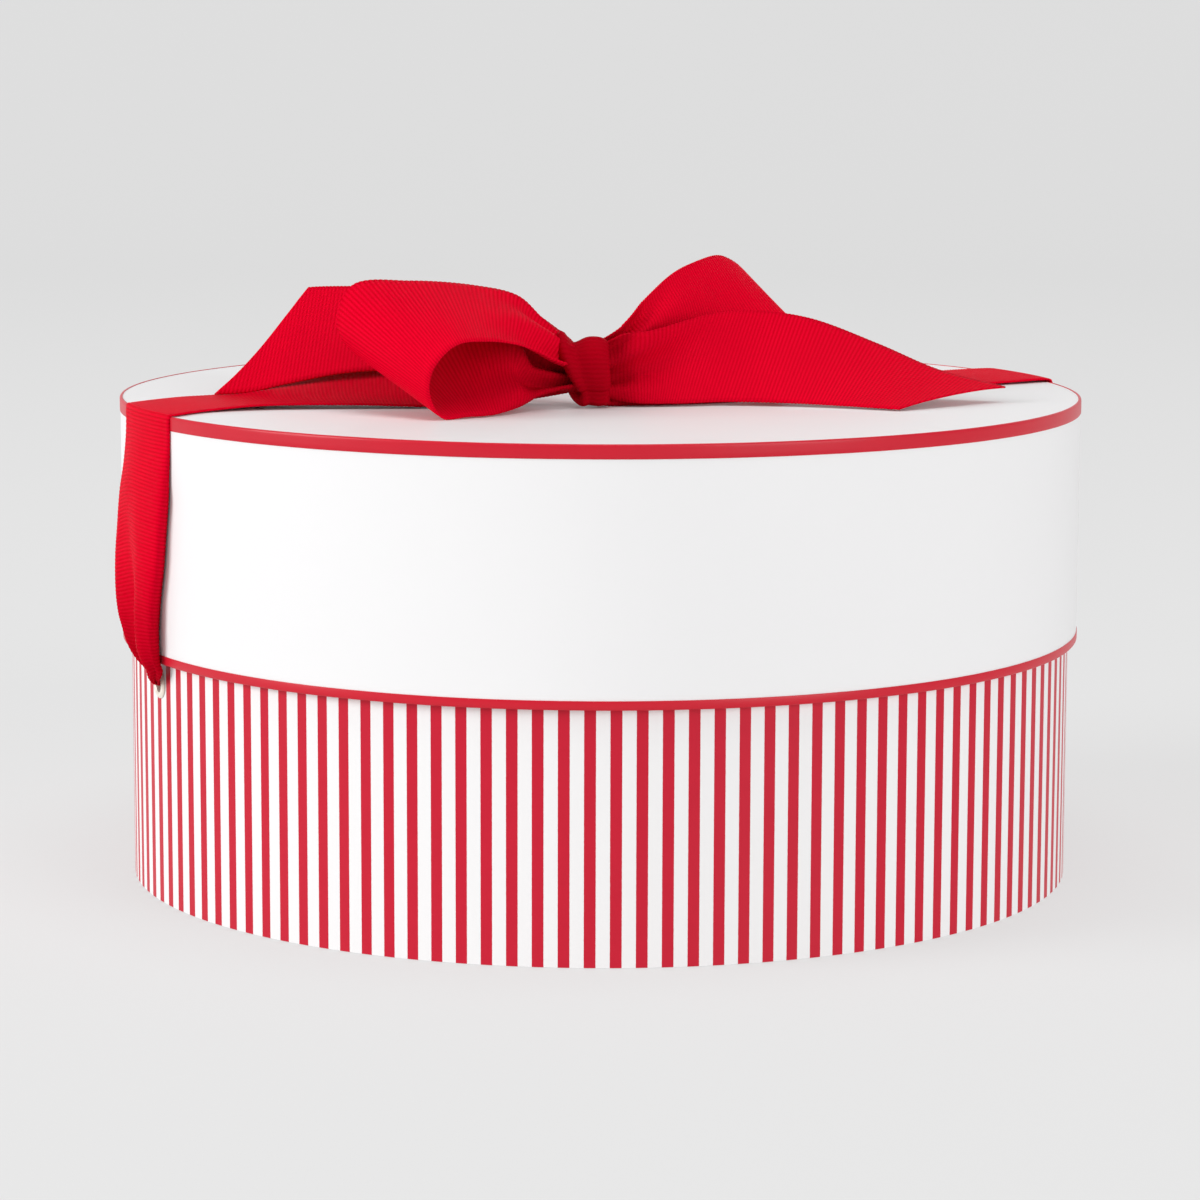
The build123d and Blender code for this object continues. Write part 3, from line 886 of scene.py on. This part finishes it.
edging = {
    "steps": 480,
    "waver": 0.08,
    "waverScale": 38.0,
    "topProfile": [(-1.0, -0.2), (-1.0, -0.06), (-0.7, 0.0), (-0.4, -0.04), (-0.15, -0.18), (-0.02, -0.45),
                   (0.02, -0.9), (0.03, -1.6), (0.03, -3.0), (0.02, -4.5), (-0.02, -4.6), (-0.2, -4.6)],
    "footProfile": [(-0.2, 3.0), (0.0, 3.0), (0.03, 2.9), (0.03, 1.2), (0.0, 0.3), (-0.2, 0.05), (-0.5, 0.0),
                    (-1.9, 0.0), (-2.2, 0.05), (-2.38, 0.3), (-2.42, 1.2), (-2.42, 7.9), (-2.3, 8.0)],
}


def edgingTree():
    # sweeps the folded strip round the box, with the small waver of a hand-laid edge
    tree = bpy.data.node_groups.new("edgingStrip", "GeometryNodeTree")
    socketIn(tree, "Profile", "NodeSocketGeometry")
    socketIn(tree, "Radius", "NodeSocketFloat", 0.165)
    socketIn(tree, "Height", "NodeSocketFloat", 0.165)
    socketIn(tree, "Waver", "NodeSocketFloat", 0.0001)
    socketIn(tree, "Steps", "NodeSocketInt", 480)
    socketIn(tree, "Paper", "NodeSocketMaterial")
    tree.interface.new_socket("Edging", in_out="OUTPUT", socket_type="NodeSocketGeometry")
    nodes, links = tree.nodes, tree.links
    given = nodes.new("NodeGroupInput")
    result = nodes.new("NodeGroupOutput")
    profile = nodes.new("GeometryNodeMeshToCurve")
    links.new(given.outputs["Profile"], profile.inputs[0])
    circle = nodes.new("GeometryNodeCurvePrimitiveCircle")
    links.new(given.outputs["Radius"], circle.inputs["Radius"])
    links.new(given.outputs["Steps"], circle.inputs["Resolution"])
    swept = nodes.new("GeometryNodeCurveToMesh")
    links.new(circle.outputs[0], swept.inputs["Curve"])
    links.new(profile.outputs[0], swept.inputs["Profile Curve"])
    lifted = nodes.new("ShaderNodeCombineXYZ")
    links.new(given.outputs["Height"], lifted.inputs["Z"])
    noise = nodes.new("ShaderNodeTexNoise")
    noise.inputs["Scale"].default_value = edging["waverScale"]
    noise.inputs["Detail"].default_value = 2.0
    centred = nodes.new("ShaderNodeVectorMath")
    centred.operation = "SUBTRACT"
    centred.inputs[1].default_value = (0.5, 0.5, 0.5)
    links.new(noise.outputs["Color"], centred.inputs[0])
    waver = nodes.new("ShaderNodeVectorMath")
    waver.operation = "SCALE"
    links.new(centred.outputs[0], waver.inputs[0])
    links.new(given.outputs["Waver"], waver.inputs["Scale"])
    total = nodes.new("ShaderNodeVectorMath")
    total.operation = "ADD"
    links.new(lifted.outputs[0], total.inputs[0])
    links.new(waver.outputs[0], total.inputs[1])
    placed = nodes.new("GeometryNodeSetPosition")
    links.new(swept.outputs[0], placed.inputs["Geometry"])
    links.new(total.outputs[0], placed.inputs["Offset"])
    smooth = nodes.new("GeometryNodeSetShadeSmooth")
    links.new(placed.outputs[0], smooth.inputs["Geometry"])
    real = nodes.new("GeometryNodeRealizeInstances")
    links.new(smooth.outputs["Geometry"], real.inputs["Geometry"])
    dressed = nodes.new("GeometryNodeSetMaterial")
    links.new(real.outputs["Geometry"], dressed.inputs["Geometry"])
    links.new(given.outputs["Paper"], dressed.inputs["Material"])
    links.new(dressed.outputs["Geometry"], result.inputs[0])
    return tree


edgingStrip = edgingTree()


def edgingPiece(name, node, profile, height):
    # the sweep takes the profile's second axis downwards
    mesh = bpy.data.meshes.new(name + "Profile")
    points = [(x * mm, -z * mm, 0) for x, z in profile]
    mesh.from_pydata(points, [(i, i + 1) for i in range(len(points) - 1)], [])
    piece = bpy.data.objects.new(name, mesh)
    bpy.context.collection.objects.link(piece)
    modifier = piece.modifiers.new("edging", "NODES")
    modifier.node_group = edgingStrip
    inputs = {"Radius": rimRadius * mm, "Height": height * mm, "Waver": edging["waver"] * mm,
              "Steps": edging["steps"], "Paper": materials["red_edging_paper"]}
    for key, value in inputs.items():
        modifier[edgingStrip.interface.items_tree[key].identifier] = value
    bpy.context.view_layer.update()
    solid = bpy.data.meshes.new_from_object(piece.evaluated_get(bpy.context.evaluated_depsgraph_get()))
    solid.name = name
    piece.modifiers.remove(modifier)
    piece.data = solid
    bpy.data.meshes.remove(mesh)
    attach(piece, "lid")
    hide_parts(node)
    print("hat box:", name, "faces", len(solid.polygons))


edgingPiece("topEdging", "lid_top_edging", edging["topProfile"], lidTop)
edgingPiece("footEdging", "lid_bottom_edging", edging["footProfile"], lidFoot)
